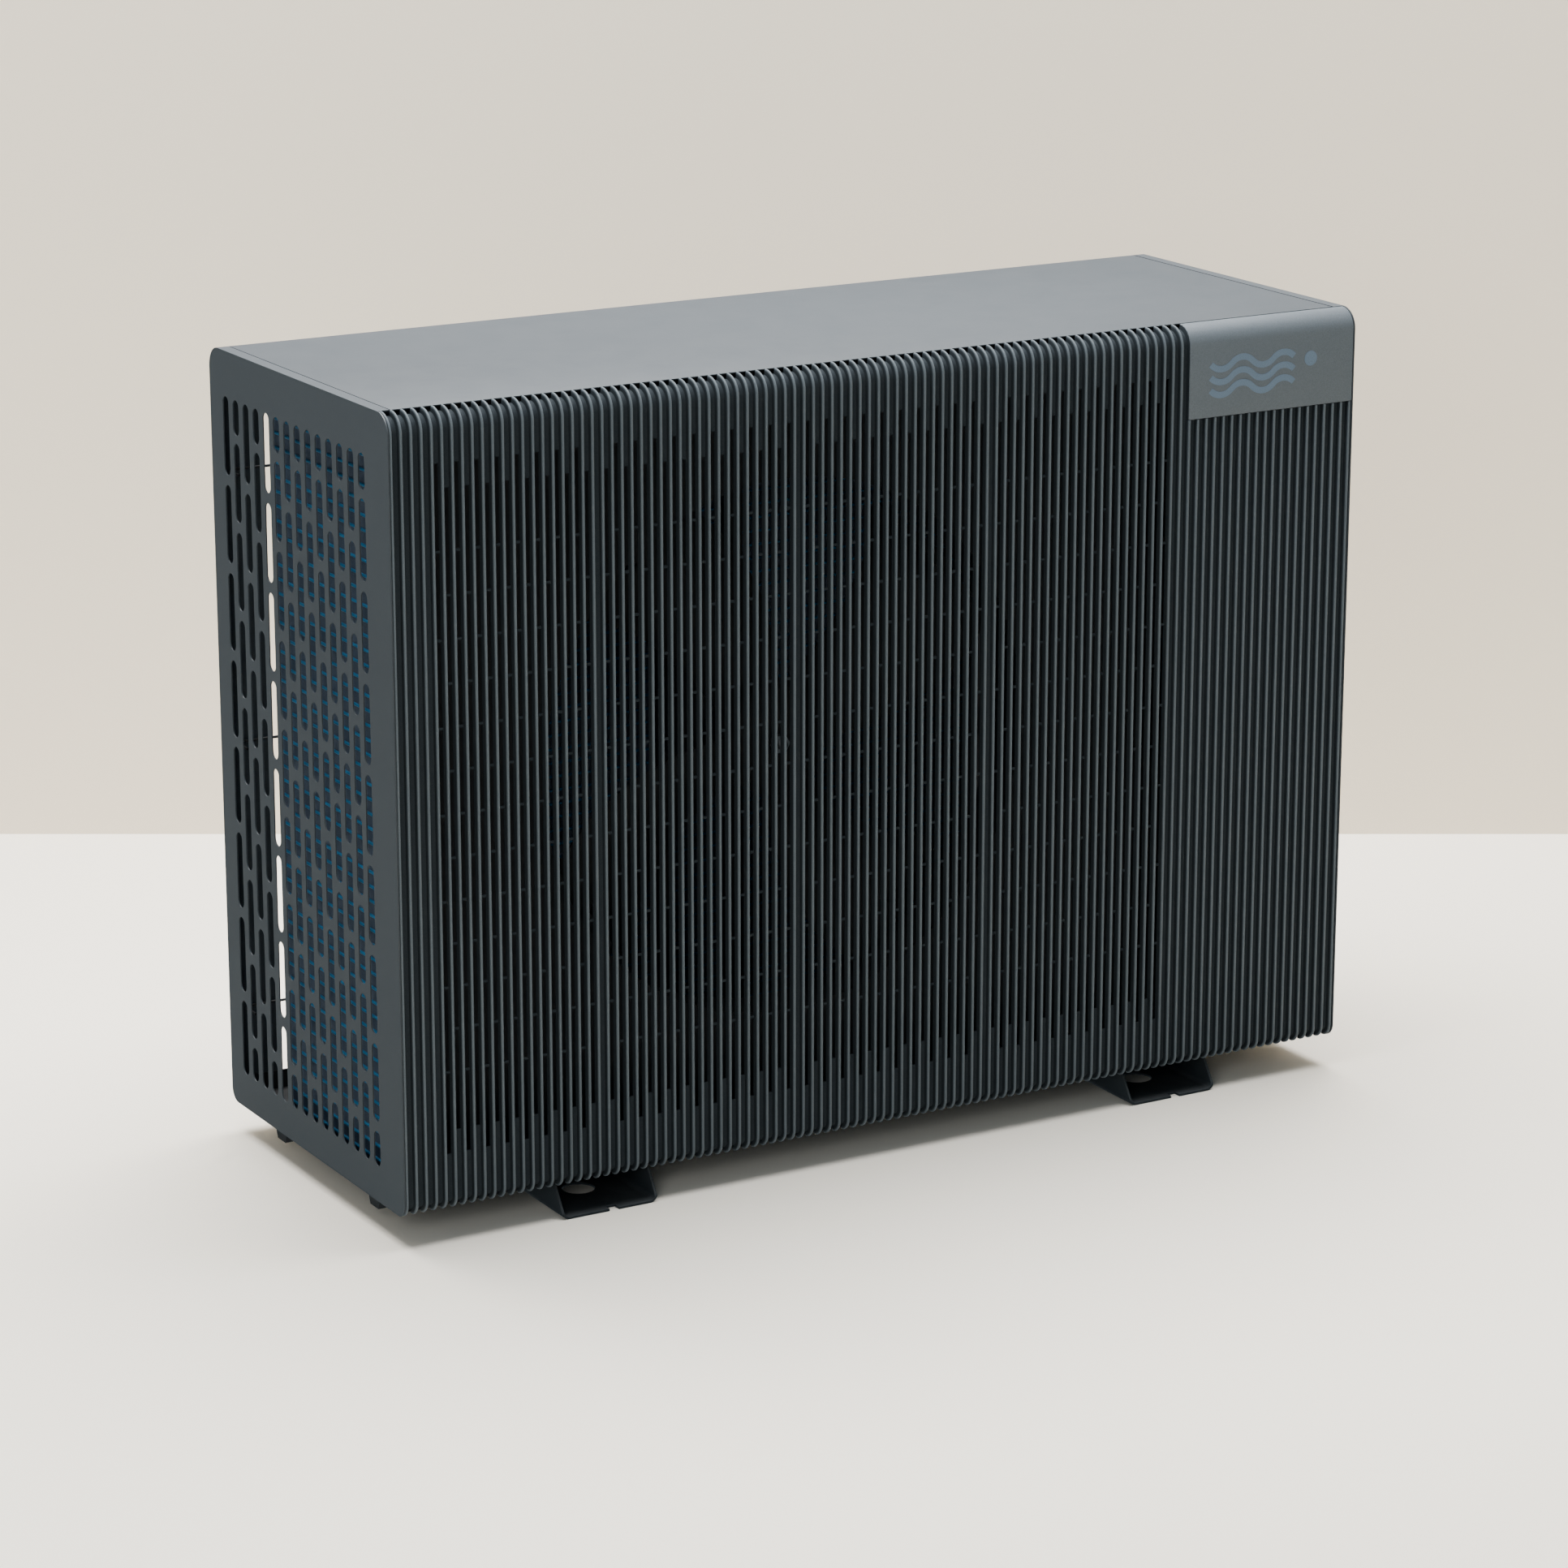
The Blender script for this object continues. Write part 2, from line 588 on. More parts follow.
def ribbed(shape):
    crest, floor, back = front_path(0.0), front_path(RIB_DEPTH), front_path(RIB_DEPTH + FRONT_WALL)
    rows = len(crest)
    foot, top = RIB_FOOT / 2, RIB_CREST / 2

    def line(x, path):
        return [shape.verts.new((x, *point)) for point in path]

    sections = []
    for x in rib_x:
        outer = [line(x - foot, floor), line(x - top, crest), line(x + top, crest), line(x + foot, floor)]
        sections.append(outer + [line(x - foot, back), line(x + foot, back)])
    end_front, end_back = line(panel_right, floor), line(panel_right, back)
    for gap, (a, b, c, d, e, f) in enumerate(sections):
        last = gap == len(sections) - 1
        next_a, next_e = (end_front, end_back) if last else (sections[gap + 1][0], sections[gap + 1][4])
        for i in range(rows - 1):
            for one, two in ((a, b), (b, c), (c, d), (f, e)):
                shape.faces.new((one[i], two[i], two[i + 1], one[i + 1]))
            if gap == 0 or is_open(gap - 1, i):
                shape.faces.new((e[i], a[i], a[i + 1], e[i + 1]))
            if is_open(gap, i):
                shape.faces.new((d[i], f[i], f[i + 1], d[i + 1]))
            else:
                shape.faces.new((d[i], next_a[i], next_a[i + 1], d[i + 1]))
                shape.faces.new((next_e[i], f[i], f[i + 1], next_e[i + 1]))
        for i in range(rows):
            above, below = i > 0 and not is_open(gap, i - 1), i < rows - 1 and not is_open(gap, i)
            if above != below:
                shape.faces.new((d[i], next_a[i], next_e[i], f[i]))
            if i in (0, rows - 1):
                shape.faces.new((a[i], b[i], c[i], d[i], f[i], e[i]))
    for i in range(rows - 1):
        shape.faces.new((end_front[i], end_back[i], end_back[i + 1], end_front[i + 1]))


front_panel = solid("front_panel", ribbed, "casing")


# Name plate: set into the ribs' top right corner, with a pocket for the badge
def plate_outline(inset, low):
    top = arc((TOP_RADIUS, HEIGHT - TOP_RADIUS), TOP_RADIUS - inset, 90, 180, CORNER_STEPS)
    return top + [(inset, low)]


plate_left = rib_x[RIB_COUNT - PLATE_RIBS] - RIB_CREST / 2
plate_low = HEIGHT - PLATE_DROP
recess_low, recess_back = plate_low - FIT, TOP_RADIUS + SEAM
recess = [(-CUT, HEIGHT + CUT), (-CUT, recess_low)] + plate_outline(PLATE_WALL + FIT, recess_low)[::-1]
recess += [(recess_back, HEIGHT - PLATE_WALL - FIT), (recess_back, HEIGHT + CUT)]
cut(front_panel, prism("plate_recess", recess, 0, plate_left - FIT, WIDTH + CUT))
plate_section = plate_outline(0.0, plate_low) + plate_outline(PLATE_WALL, plate_low)[::-1]
name_plate = prism("name_plate", plate_section, 0, plate_left, panel_right, "plate")
badge_low = (plate_left + BADGE_CORNER[0], 0.0, plate_low + BADGE_CORNER[1])
badge_high = (badge_low[0] + BADGE_SIZE[0], BADGE_SIZE[1], badge_low[2] + BADGE_SIZE[2])
pocket_low = (badge_low[0] - FIT, -CUT, badge_low[2] - FIT)
pocket_high = tuple(edge + FIT for edge in badge_high)
cut(name_plate, box("badge_pocket", pocket_low, pocket_high))
badge = box("badge", badge_low, badge_high, "badge")

# Partition between the air side and the compressor bay
INNER_LOW = BASE_TOP + FIT
INNER_TOP = ROOF_UNDER - FIT
FRONT_INNER = TOP_RADIUS + FIT
WALL_REAR = DEPTH - SHEET - FIT
part_low = (PARTITION_X, FRONT_INNER, INNER_LOW)
part_high = (PARTITION_X + SHEET, WALL_REAR - PARTITION_GAP, INNER_TOP - TOP_RADIUS)
partition = box("partition", part_low, part_high, "black")

# Fan shroud: a plate across the air side with a round mouth
shroud_left, shroud_right = SIDE_COIL_X + COIL_DEPTH + COIL_MARGIN, PARTITION_X - FIT
fan_x, fan_z = (shroud_left + shroud_right) / 2 + FAN_OFFSET[0], HEIGHT / 2 + FAN_OFFSET[1]
fan_centre = (fan_x, fan_z)
mouth = FAN_RADIUS + FAN_TIP_GAP
shroud_top, shroud_rear = INNER_TOP - FIT, SHROUD_FRONT + SHROUD_DEPTH
shroud_low, shroud_high = (shroud_left, SHROUD_FRONT, INNER_LOW), (shroud_right, SHROUD_FRONT + SHEET, shroud_top)
fan_shroud = box("fan_shroud", shroud_low, shroud_high, "black")
ring_front = SHROUD_FRONT + SHEET / 2
join(fan_shroud, rod("shroud_ring", fan_centre, mouth + SHROUD_RIM, 1, ring_front, shroud_rear, 32))
cut(fan_shroud, rod("shroud_mouth", fan_centre, mouth, 1, SHROUD_FRONT - CUT, shroud_rear + CUT, 32))

# Fan: a hub with swept blades on the motor shaft, turning about its own axis
FAN_REAR = FAN_FRONT + FAN_HUB_DEPTH
SHAFT_BORE = SHAFT_RADIUS + SHAFT_CLEARANCE


def add_blade(shape, turn):
    """One twisted blade from inside the hub to the tip circle: every point of a ring lies at the ring's radius."""
    middle, root = (FAN_FRONT + FAN_REAR) / 2, FAN_HUB_RADIUS - BLADE_ROOT
    rings = []
    for i in range(BLADE_STEPS + 1):
        share = i / BLADE_STEPS
        radius = root + (FAN_RADIUS - root) * share
        chord = FAN_ROOT_CHORD + (FAN_TIP_CHORD - FAN_ROOT_CHORD) * share
        tilt = math.radians(FAN_TILT - FAN_UNTWIST * share)
        sweep = turn + FAN_SWEEP * share * share
        ring = []
        for side, lift in ((-1, -1), (0, -1), (1, -1), (1, 1), (0, 1), (-1, 1)):
            angle = sweep + side * chord * math.cos(tilt) / radius
            y = middle + side * chord * math.sin(tilt) * BLADE_FLATTEN + lift * BLADE_HALF
            ring.append(shape.verts.new((fan_x + radius * math.cos(angle), y, fan_z + radius * math.sin(angle))))
        rings.append(ring)
    for near, far in zip(rings, rings[1:]):
        for k in range(6):
            m = (k + 1) % 6
            shape.faces.new((near[k], near[m], far[m], far[k]))
    shape.faces.new(rings[0])
    shape.faces.new(rings[-1])


fan = rod("fan", fan_centre, FAN_HUB_RADIUS, 1, FAN_FRONT, FAN_REAR, 24, "black")
for number in range(FAN_BLADES):
    turn = 2 * math.pi * number / FAN_BLADES + FAN_START
    join(fan, solid(f"fan_blade_{number + 1}", lambda shape: add_blade(shape, turn), None))
cut(fan, rod("fan_bore", fan_centre, SHAFT_BORE, 1, FAN_FRONT - CUT, FAN_REAR + CUT, 24))

# Fan motor with its shaft, the nut that holds the fan, and the frame behind
motor_front = FAN_REAR + FAN_TO_MOTOR
motor_rear = motor_front + MOTOR_DEPTH
nose_radius, nose_depth = MOTOR_NOSE
motor_profile = [
    (nose_radius, motor_front - nose_depth), (nose_radius, motor_front),
    (MOTOR_RADIUS - MOTOR_EDGE, motor_front), (MOTOR_RADIUS, motor_front + MOTOR_EDGE),
    (MOTOR_RADIUS, motor_rear - MOTOR_EDGE), (MOTOR_RADIUS - MOTOR_EDGE, motor_rear),
]
fan_motor = turned("fan_motor", fan_centre, motor_profile, 1, 24, "black")
shaft_rear = motor_front + SHAFT_IN_MOTOR
cut(fan_motor, rod("motor_bore", fan_centre, SHAFT_BORE, 1, motor_front - CUT, shaft_rear + SEAM, 24))
motor_shaft = rod("motor_shaft", fan_centre, SHAFT_RADIUS, 1, FAN_FRONT - SHAFT_FRONT, shaft_rear, 24, "steel")
nut_outline = circle(fan_centre, FAN_NUT_RADIUS, 6)
fan_nut = prism("fan_nut", nut_outline, 1, FAN_FRONT - FAN_NUT_DEPTH, FAN_FRONT - FIT, "steel")
cut(fan_nut, rod("fan_nut_bore", fan_centre, SHAFT_BORE, 1, FAN_FRONT - CUT, FAN_FRONT + CUT, 24))
bracket_front = motor_rear + FIT
bracket_rear = bracket_front + BRACKET_DEPTH
bracket_left, bracket_right = fan_x - BRACKET_WIDTH / 2, fan_x + BRACKET_WIDTH / 2
bar_left, bar_right = bracket_left + BRACKET_BAR, bracket_right - BRACKET_BAR
bar_top = INNER_TOP - FIT
motor_bracket = box(
    "motor_bracket", (bracket_left, bracket_front, INNER_LOW), (bar_left, bracket_rear, bar_top), "black"
)
right_low, right_high = (bar_right, bracket_front, INNER_LOW), (bracket_right, bracket_rear, bar_top)
join(motor_bracket, box("bracket_bar_right", right_low, right_high))
cross_rise, cross_half, cross_sheet = BRACKET_CROSS
cross_front = bracket_front + OVERLAP
for place, level in (("low", fan_z - cross_rise), ("high", fan_z + cross_rise)):
    low = (bracket_left + CROSS_INSET, cross_front, level - cross_half)
    high = (bracket_right - CROSS_INSET, cross_front + cross_sheet, level + cross_half)
    join(motor_bracket, box(f"bracket_cross_{place}", low, high))

# Finned coils: one along the slotted side and one along the rear, with a tube plate and return bends at its right
coil_low, coil_high = INNER_LOW + COIL_MARGIN, INNER_TOP - TOP_RADIUS
side_low = (SIDE_COIL_X, SIDE_COIL_ENDS[0], coil_low)
side_coil = box("side_coil", side_low, (SIDE_COIL_X + COIL_DEPTH, SIDE_COIL_ENDS[1], coil_high), "coil")
guard_front = DEPTH - SHEET - GUARD_WIRE - FIT
rear_coil_back = guard_front - GUARD_TO_COIL
rear_coil_front = rear_coil_back - COIL_DEPTH
tube_plate_x = PARTITION_X - TUBE_PLATE_GAP
rear_low = (REAR_COIL_LEFT, rear_coil_front, coil_low)
rear_coil = box("rear_coil", rear_low, (tube_plate_x - FIT, rear_coil_back, coil_high), "coil")
tube_plate_low = (tube_plate_x, rear_coil_front - TUBE_PLATE_LAP, coil_low)
tube_plate_high = (tube_plate_x + SHEET, rear_coil_back + TUBE_PLATE_LAP, coil_high)
coil_plate = box("coil_plate", tube_plate_low, tube_plate_high, "galvanised")
bend_y = rear_coil_back - COIL_DEPTH / 2
bend_start = tube_plate_x + SHEET + FIT
bend_end = bend_start + BEND_REACH
for number in range(BEND_COUNT):
    low = coil_low + (coil_high - coil_low) * (number + 0.5) / BEND_COUNT - BEND_RISE / 2
    high = low + BEND_RISE
    route = [(x, bend_y, z) for x, z in ((bend_start, low), (bend_end, low), (bend_end, high), (bend_start, high))]
    pipe(f"coil_bend_{number + 1}", route, BEND_RADIUS, SMALL_BEND, "copper")

# Rear guard: upright and level wires, the level ones cranked in at the left to hook behind the side panel
guard_left, guard_right = GUARD_FROM_SIDE, PARTITION_X - GUARD_TO_PARTITION
guard_low, guard_high = GUARD_BOTTOM, HEIGHT - TOP_RADIUS - GUARD_TOP_GAP
guard_rear = guard_front + GUARD_WIRE
first_low, first_high = (guard_left, guard_front, guard_low), (guard_left + GUARD_WIRE, guard_rear, guard_high)
rear_guard = box("rear_guard", first_low, first_high, "black")
guard_step = (guard_right - guard_left - GUARD_WIRE) / (GUARD_UPRIGHTS - 1)
hooked_low, hooked_high = guard_low + GUARD_LEVEL_ENDS[0], guard_high - GUARD_LEVEL_ENDS[1]


def guard_uprights(shape):
    for number in range(1, GUARD_UPRIGHTS):
        x = guard_left + number * guard_step
        corners = ((x, guard_front), (x + GUARD_WIRE, guard_front), (x + GUARD_WIRE, guard_rear), (x, guard_rear))
        add_prism(shape, corners, 2, guard_low, guard_high)


def guard_rails(shape):
    """The level wires: straight ones at the ends, and three between them that reach the hook at the left."""
    half = GUARD_WIRE / 2
    near, far = guard_front + OVERLAP / 2, guard_rear - OVERLAP / 2
    start, end = guard_left + half, guard_right - OVERLAP
    for level in (guard_low + half, guard_high - half):
        add_prism(shape, [(start, near), (end, near), (end, far), (start, far)], 2, level - half, level + half)
    tip_x, tip_y = GUARD_HOOK_X, guard_rear - GUARD_HOOK_DEPTH
    hooked = [(start - OVERLAP, near), (end, near), (end, far), (start, far)]
    hooked += [(tip_x, tip_y + half), (tip_x + OVERLAP, tip_y - half)]
    for level in (hooked_low, (hooked_low + hooked_high) / 2, hooked_high):
        add_prism(shape, hooked, 2, level - half, level + half)


join(rear_guard, solid("guard_upright_wires", guard_uprights, None))
join(rear_guard, solid("guard_level_wires", guard_rails, None))

# Rear panel of the compressor bay, with the openings for the water unions and the cable glands
bay_left, bay_right = PARTITION_X + SEAM, WIDTH - REAR_FLANGE - SEAM
panel_high = HEIGHT - TOP_RADIUS - SEAM
rear_panel = box("rear_panel", (bay_left, DEPTH - SHEET, 0.0), (bay_right, DEPTH, panel_high), "casing")
water_x = (bay_left + bay_right) / 2 + WATER_SHIFT
for place, level in (("low", LOW_WATER_Z), ("high", HIGH_WATER_Z)):
    spot = (water_x, level)
    hole = WATER_RADIUS + WATER_HOLE_GAP
    cut(rear_panel, rod(f"water_opening_{place}", spot, hole, 1, DEPTH - CUT, DEPTH + CUT, 24))
gland_start, gland_neck = DEPTH + FIT, GLAND_RADIUS - GLAND_NECK - FIT * 2
gland_profile = [
    (gland_neck, DEPTH - GLAND_BEHIND), (gland_neck, gland_start),
    (GLAND_RADIUS, gland_start), (GLAND_RADIUS, gland_start + GLAND_NUT),
    (GLAND_RADIUS - GLAND_STEP, gland_start + GLAND_NUT + SEAM),
    (GLAND_RADIUS - GLAND_STEP - SEAM, gland_start + GLAND_CAP),
    (GLAND_RADIUS - GLAND_STEP * 3, gland_start + GLAND_REACH),
]
for number, above in enumerate(GLAND_ABOVE_WATER, 1):
    spot = (water_x, HIGH_WATER_Z + above)
    hole = GLAND_RADIUS - GLAND_NECK
    cut(rear_panel, rod(f"gland_opening_{number}", spot, hole, 1, DEPTH - CUT, DEPTH + CUT, 16))
    turned(f"cable_gland_{number}", spot, gland_profile, 1, 16, "black")


def screw(name, spot, start, axis):
    head = [(SCREW_RADIUS, start), (SCREW_RADIUS, start + SCREW_RIM), (SCREW_CROWN, start + SCREW_HEAD)]
    turned(name, spot, head, axis, 12, "steel")


screw_left, screw_right = bay_left + SCREW_INSET, bay_right - SCREW_INSET
screw_low, screw_high = SCREW_LEVELS[0], panel_high - SCREW_LEVELS[1]
corners = ((screw_left, screw_low), (screw_right, screw_low), (screw_left, screw_high), (screw_right, screw_high))
for number, spot in enumerate(corners, 1):
    screw(f"rear_screw_{number}", spot, DEPTH + FIT, 1)

# Compressor on three rubber grommets, with its terminal cover, and its accumulator
compressor_x = PARTITION_X + SHEET + COMPRESSOR_GAP + PLATE_REACH
compressor_spot = (compressor_x, COMPRESSOR_Y)
grommet_top = INNER_LOW + GROMMET_HEIGHT
base = grommet_top + FIT
body = base + COMPRESSOR_PLATE
top = body + COMPRESSOR_LENGTH
compressor_profile = [
    (COMPRESSOR_RADIUS - SUMP_INSET, base), (COMPRESSOR_RADIUS - SUMP_EDGE, body + SUMP_EDGE),
    (COMPRESSOR_RADIUS, body + SUMP_RISE), (COMPRESSOR_RADIUS, top - DOME_RISE),
    (COMPRESSOR_RADIUS - DOME_EDGE, top - DOME_SHOULDER), (COMPRESSOR_RADIUS - DOME_INSET, top),
]
compressor = turned("compressor", compressor_spot, compressor_profile, 2, 24, "black")
plate_points = circle(compressor_spot, GROMMET_RING, 6, math.pi / 6)
join(compressor, prism("compressor_plate", plate_points, 2, base + OVERLAP / 2, body - OVERLAP))
grommet_spots = circle(compressor_spot, GROMMET_RING * GROMMET_INSET, 3, math.pi / 2 + math.pi / 3)
for number, spot in enumerate(grommet_spots, 1):
    rod(f"grommet_{number}", spot, GROMMET_RADIUS, 2, INNER_LOW, grommet_top, 16, "rubber")
terminal_width, terminal_depth, terminal_height = TERMINAL_COVER
terminal_front, terminal_floor = COMPRESSOR_Y + COMPRESSOR_RADIUS + FIT, body + TERMINAL_LEVEL
terminal_low = (compressor_x - terminal_width / 2, terminal_front, terminal_floor)
terminal_rear, terminal_top = terminal_front + terminal_depth, terminal_floor + terminal_height
terminal_high = (compressor_x + terminal_width / 2, terminal_rear, terminal_top)
terminal_cover = box("terminal_cover", terminal_low, terminal_high, "grey_plastic")
accumulator_x = compressor_x + COMPRESSOR_RADIUS + ACCUMULATOR_RADIUS + ACCUMULATOR_GAP
acc_low = base + ACCUMULATOR_LIFT
acc_high = acc_low + ACCUMULATOR_LENGTH
acc_end, acc_edge = ACCUMULATOR_END
acc_profile = [
    (ACCUMULATOR_RADIUS - acc_end, acc_low), (ACCUMULATOR_RADIUS, acc_low + acc_edge),
    (ACCUMULATOR_RADIUS, acc_high - acc_edge), (ACCUMULATOR_RADIUS - acc_end, acc_high),
]
accumulator = turned("accumulator", (accumulator_x, COMPRESSOR_Y), acc_profile, 2, 20, "black")

# Heat exchanger barrel on its stand, with its two water tails and the union nuts that turn on them
exchanger_low = BASE_TOP + EXCHANGER_LIFT
exchanger_high = exchanger_low + EXCHANGER_LENGTH
barrel = [
    (EXCHANGER_RADIUS - EXCHANGER_EDGE, exchanger_low), (EXCHANGER_RADIUS, exchanger_low + EXCHANGER_EDGE),
    (EXCHANGER_RADIUS, exchanger_high - EXCHANGER_EDGE), (EXCHANGER_RADIUS - EXCHANGER_EDGE, exchanger_high),
]
heat_exchanger = turned("heat_exchanger", (water_x, EXCHANGER_Y), barrel, 2, 24, "black")
stand_low = (water_x - EXCHANGER_STAND, EXCHANGER_Y - EXCHANGER_STAND, INNER_LOW)
stand_high = (water_x + EXCHANGER_STAND, EXCHANGER_Y + EXCHANGER_STAND, exchanger_low - FIT)
exchanger_stand = box("exchanger_stand", stand_low, stand_high, "galvanised")
stub_start, stub_end = EXCHANGER_Y + STUB_START, DEPTH - WATER_STUB_GAP
union_front = DEPTH + UNION_GAP
union_rear = union_front + UNION_DEPTH
collar, collar_radius = union_rear + FIT * 2, WATER_RADIUS + WATER_COLLAR
tail_rear = DEPTH + WATER_REACH
tail_profile = [
    (WATER_RADIUS, stub_end + FIT), (WATER_RADIUS, collar), (collar_radius, collar), (collar_radius, tail_rear),
]
for place, level in (("inlet", LOW_WATER_Z), ("outlet", HIGH_WATER_Z)):
    spot = (water_x, level)
    join(heat_exchanger, rod(f"{place}_stub", spot, collar_radius, 1, stub_start, stub_end, 24))
    tail = turned(f"water_{place}", spot, tail_profile, 1, 24, "grey_plastic")
    inside = WATER_RADIUS - WATER_WALL
    cut(tail, rod(f"water_{place}_bore", spot, inside, 1, DEPTH - WATER_BORE, tail_rear + CUT, 24))
    nut = prism(f"union_nut_{place}", circle(spot, UNION_RADIUS, 12), 1, union_front, union_rear, "grey_plastic")
    turning = WATER_RADIUS + NUT_CLEARANCE
    cut(nut, rod(f"union_nut_{place}_bore", spot, turning, 1, union_front - CUT, union_rear + CUT, 24))

# Reversing valve above the barrel with its magnet coil, expansion valve, drier and the copper lines
valve_x, valve_y, valve_z = BAY_X - VALVE_SHIFT, EXCHANGER_Y - VALVE_BEHIND, exchanger_high - VALVE_BELOW
valve_left, valve_right = valve_x - VALVE_HALF_LENGTH, valve_x + VALVE_HALF_LENGTH
rod("reversing_valve", (valve_y, valve_z), VALVE_RADIUS, 0, valve_left, valve_right, 16, "brass")
magnet_half, magnet_front = VALVE_COIL[0] / 2, valve_y + VALVE_RADIUS + FIT
magnet_low = (valve_x - magnet_half, magnet_front, valve_z - magnet_half)
magnet_high = (valve_x + magnet_half, magnet_front + VALVE_COIL[1], valve_z + magnet_half)
valve_coil = box("valve_coil", magnet_low, magnet_high, "black")
drier_spot = (WIDTH - DRIER_FROM_SIDE, EXCHANGER_Y - DRIER_BEHIND)
drier_low = LOW_WATER_Z + DRIER_LIFT
drier_high = drier_low + DRIER_LENGTH
drier_end, drier_edge = DRIER_RADIUS - DRIER_TAPER, DRIER_TAPER
drier_profile = [
    (drier_end, drier_low), (DRIER_RADIUS, drier_low + drier_edge),
    (DRIER_RADIUS, drier_high - drier_edge), (drier_end, drier_high),
]
filter_drier = turned("filter_drier", drier_spot, drier_profile, 2, 16, "copper")
expansion_low = drier_high + LIQUID_RUN
neck_radius, neck_length = EXPANSION_NECK
head_radius, head_length = EXPANSION_HEAD
neck_high = expansion_low + neck_length
head_high = neck_high + head_length
expansion_profile = [
    (neck_radius, expansion_low), (neck_radius, neck_high), (head_radius, neck_high), (head_radius, head_high),
    (head_radius - EXPANSION_EDGE, head_high + EXPANSION_EDGE),
]
expansion_valve = turned("expansion_valve", drier_spot, expansion_profile, 2, 16, "brass")


def line_between(name, start, first_level, end, last_level, level):
    """A copper line that leaves one (x, y) spot upright, crosses at a level and ends upright at another spot."""
    points = [(*start, first_level), (*start, level), (*end, level), (*end, last_level)]
    pipe(name, points, TUBE_RADIUS, TUBE_BEND, "copper")


left_port, right_port = (valve_x - VALVE_PORT, valve_y), (valve_x + VALVE_PORT, valve_y)
valve_top, valve_under = valve_z + VALVE_RADIUS + FIT, valve_z - VALVE_RADIUS - FIT
line_between("discharge_pipe", compressor_spot, top + FIT, left_port, valve_top, valve_z + DISCHARGE_ABOVE)
suction_spot = (accumulator_x, COMPRESSOR_Y)
line_between("suction_pipe", suction_spot, acc_high + FIT, right_port, valve_under, valve_z - SUCTION_BELOW)
barrel_spot, hot_gas_level = (water_x, EXCHANGER_Y), exchanger_high + HOT_GAS_ABOVE
line_between("hot_gas_pipe", right_port, valve_top, barrel_spot, exchanger_high + FIT, hot_gas_level)
liquid = [(*drier_spot, drier_high + FIT), (*drier_spot, expansion_low - FIT)]
pipe("liquid_pipe", liquid, SMALL_TUBE, SMALL_BEND, "copper")

# Electrical box under the roof of the bay: tray, lid, board, heat sink and terminal block
box_top = HEIGHT - BOX_DROP
box_low = (PARTITION_X + SHEET + BOX_GAP, FRONT_INNER + BOX_FROM_FRONT, box_top - BOX_SIZE[2])
box_high = (box_low[0] + BOX_SIZE[0], box_low[1] + BOX_SIZE[1], box_top)
electrical_box = box("electrical_box", box_low, box_high, "galvanised")
inner_low = tuple(edge + SHEET for edge in box_low)
inner_high = (box_high[0] - SHEET, box_high[1] - SHEET, box_top + CUT)
cut(electrical_box, box("electrical_hollow", inner_low, inner_high))
lid_low, lid_high = (box_low[0], box_low[1], box_top + FIT), (box_high[0], box_high[1], box_top + FIT + SHEET)
electrical_lid = box("electrical_lid", lid_low, lid_high, "galvanised")
tray_floor = inner_low[2] + FIT
board_low = (box_low[0] + BOARD_INSET, box_low[1] + BOARD_FROM_FRONT, tray_floor)
board_high = (box_high[0] - BOARD_INSET, box_high[1] - BOARD_INSET, tray_floor + BOARD_SHEET)
control_board = box("control_board", board_low, board_high, "board")
sink_low = (board_low[0] + SINK_PLACE[0], board_low[1] + SINK_PLACE[1], board_high[2] + FIT)
sink_high = tuple(edge + size for edge, size in zip(sink_low, SINK_SIZE))
heat_sink = box("heat_sink", sink_low, sink_high, "aluminium")


def sink_gaps(shape):
    near, far = sink_low[1] - CUT, sink_high[1] + CUT
    for number in range(SINK_GAPS):
        low = sink_low[0] + SINK_FIRST + number * SINK_PITCH
        corners = ((low, near), (low + SINK_GAP, near), (low + SINK_GAP, far), (low, far))
        add_prism(shape, corners, 2, sink_low[2] + SINK_BASE, sink_high[2] + CUT)


cut(heat_sink, solid("heat_sink_gaps", sink_gaps, None))
block_low = (box_low[0] + BLOCK_PLACE, box_low[1] + BLOCK_PLACE, tray_floor)
block_high = tuple(edge + size for edge, size in zip(block_low, BLOCK_SIZE))
terminal_block = box("terminal_block", block_low, block_high, "grey_plastic")

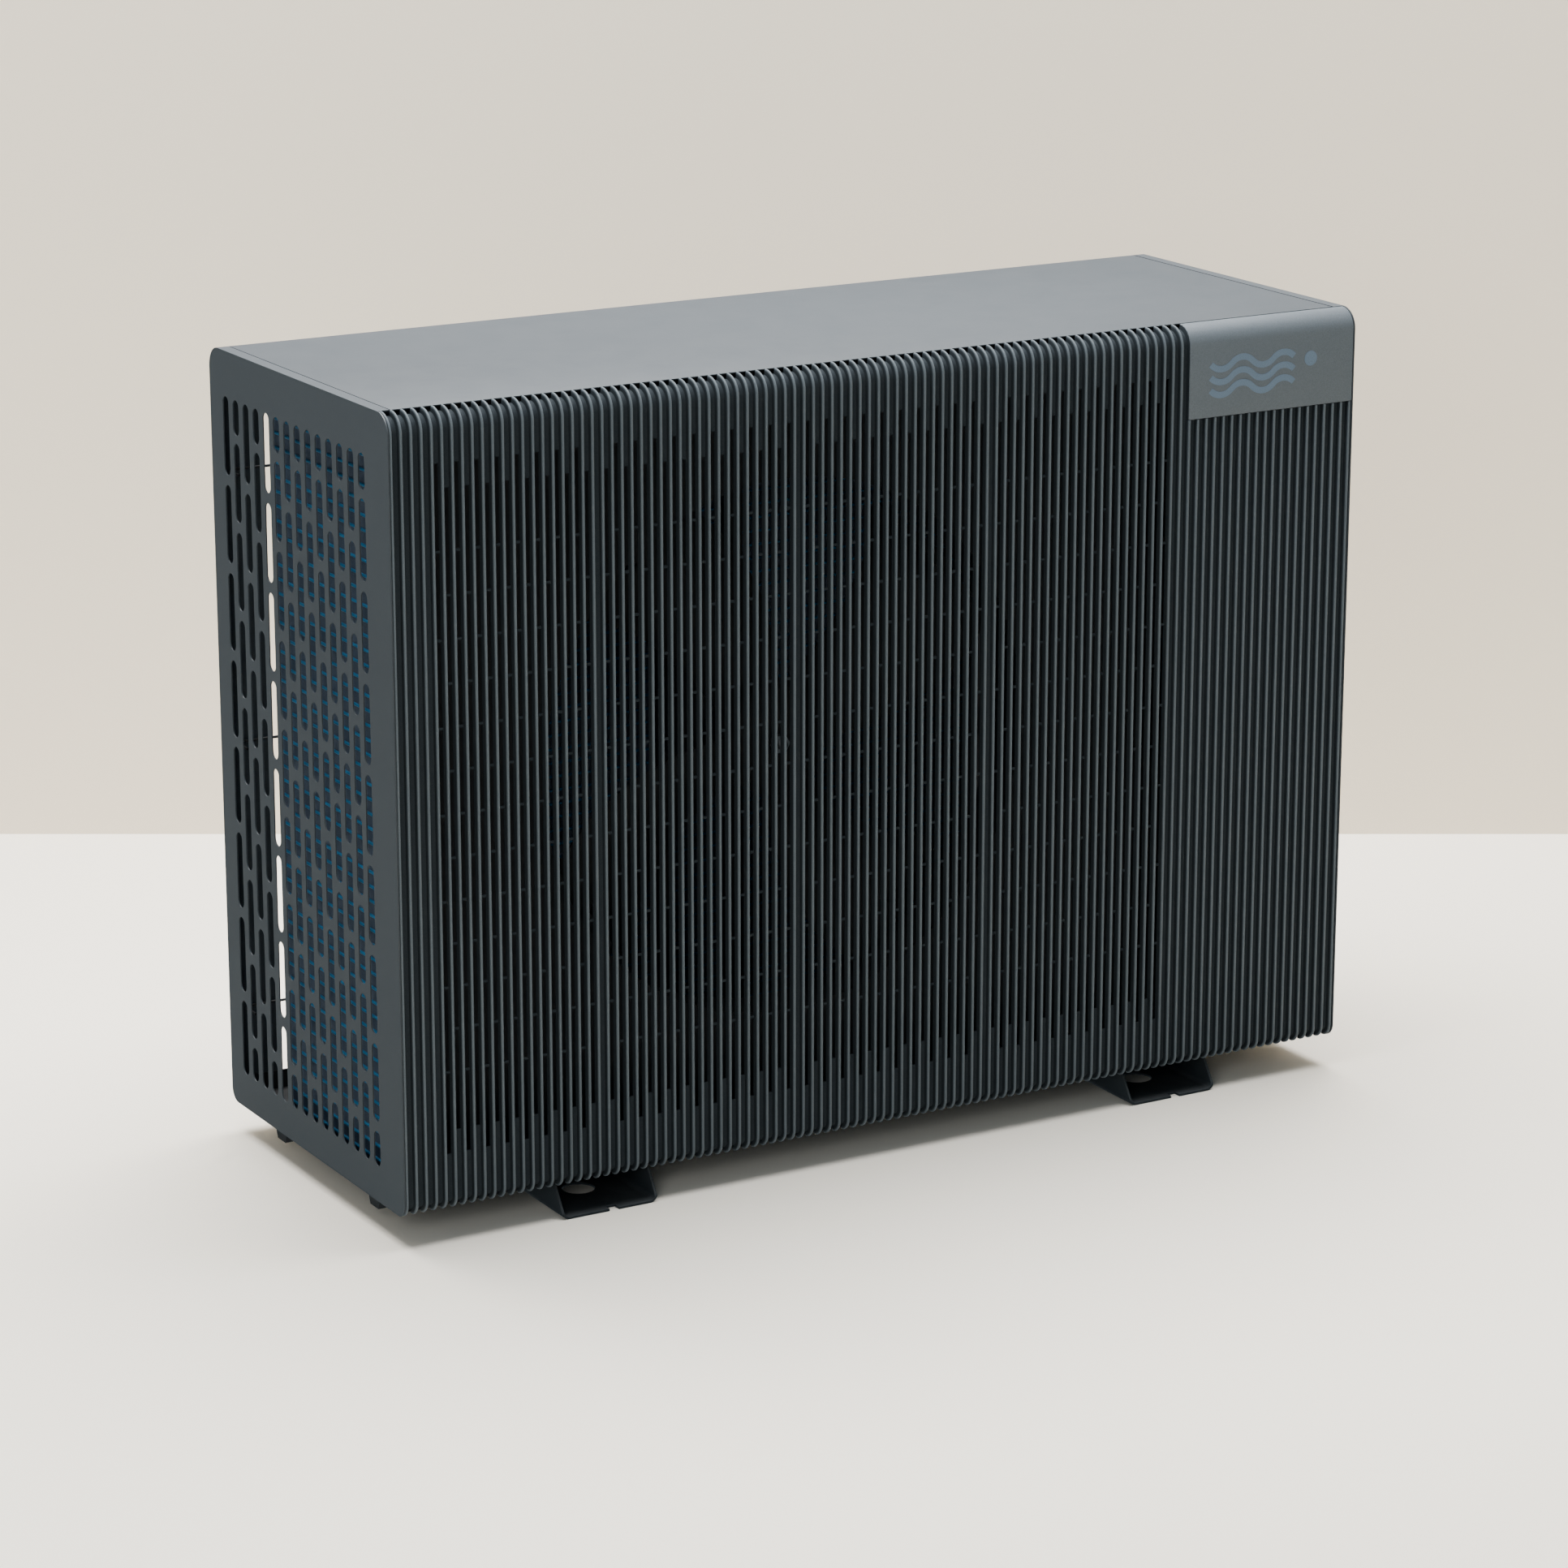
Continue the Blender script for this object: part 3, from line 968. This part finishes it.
# Service cover on the right side, over the opening that reaches the electrical box
cover_y, cover_z = (box_low[1] + box_high[1]) / 2, (box_low[2] + box_top) / 2 - COVER_DROP
cover_low_y, cover_high_y = cover_y - COVER_SIZE[0] / 2, cover_y + COVER_SIZE[0] / 2
cover_low_z, cover_high_z = cover_z - COVER_SIZE[1] / 2, cover_z + COVER_SIZE[1] / 2
reach_low = (WIDTH - CUT, cover_low_y + COVER_LAP, cover_low_z + COVER_LAP)
reach_high = (WIDTH + CUT, cover_high_y - COVER_LAP, cover_high_z - COVER_LAP)
cut(right_panel, box("service_opening", reach_low, reach_high))
cover_near, cover_far = WIDTH + FIT, WIDTH + FIT + COVER_DEPTH
service_low, service_high = (cover_near, cover_low_y, cover_low_z), (cover_far, cover_high_y, cover_high_z)
service_cover = box("service_cover", service_low, service_high, "casing")
hollow_low = (WIDTH - CUT, cover_low_y + COVER_WALL, cover_low_z + COVER_WALL)
hollow_high = tuple(edge - COVER_WALL for edge in service_high)
cut(service_cover, box("service_cover_hollow", hollow_low, hollow_high))
for number, y in enumerate((cover_low_y + COVER_LAP, cover_high_y - COVER_LAP), 1):
    screw(f"cover_screw_{number}", (y, cover_low_z + COVER_LAP), cover_far + FIT, 0)

# Moving pieces get an empty on their axis; then everything moves to the shared frame
AXES = {"fan_axis": ((fan_x, FAN_FRONT, fan_z), ("fan", "fan_nut", "motor_shaft"))}
for place, level in (("inlet", LOW_WATER_Z), ("outlet", HIGH_WATER_Z)):
    AXES[f"union_axis_{place}"] = ((water_x, union_front, level), (f"union_nut_{place}",))
outer_x = cover_far + FIT + SCREW_HEAD
shift = Vector((-outer_x / 2, -tail_rear / 2, FOOT_DROP))
for each in list(bpy.data.objects):
    each.location += shift
for name, (spot, pieces) in AXES.items():
    empty = bpy.data.objects.new(name, None)
    empty.location = Vector(spot) + shift
    bpy.context.scene.collection.objects.link(empty)
    bpy.context.view_layer.update()
    for piece in pieces:
        bpy.data.objects[piece].parent = empty
        bpy.data.objects[piece].matrix_parent_inverse = empty.matrix_world.inverted()

for each in bpy.data.objects:
    if each.type != "MESH" or each.hide_render:
        continue
    each.data.shade_smooth()
    each.data.set_sharp_from_angle(angle=math.radians(SHARP_ANGLE))
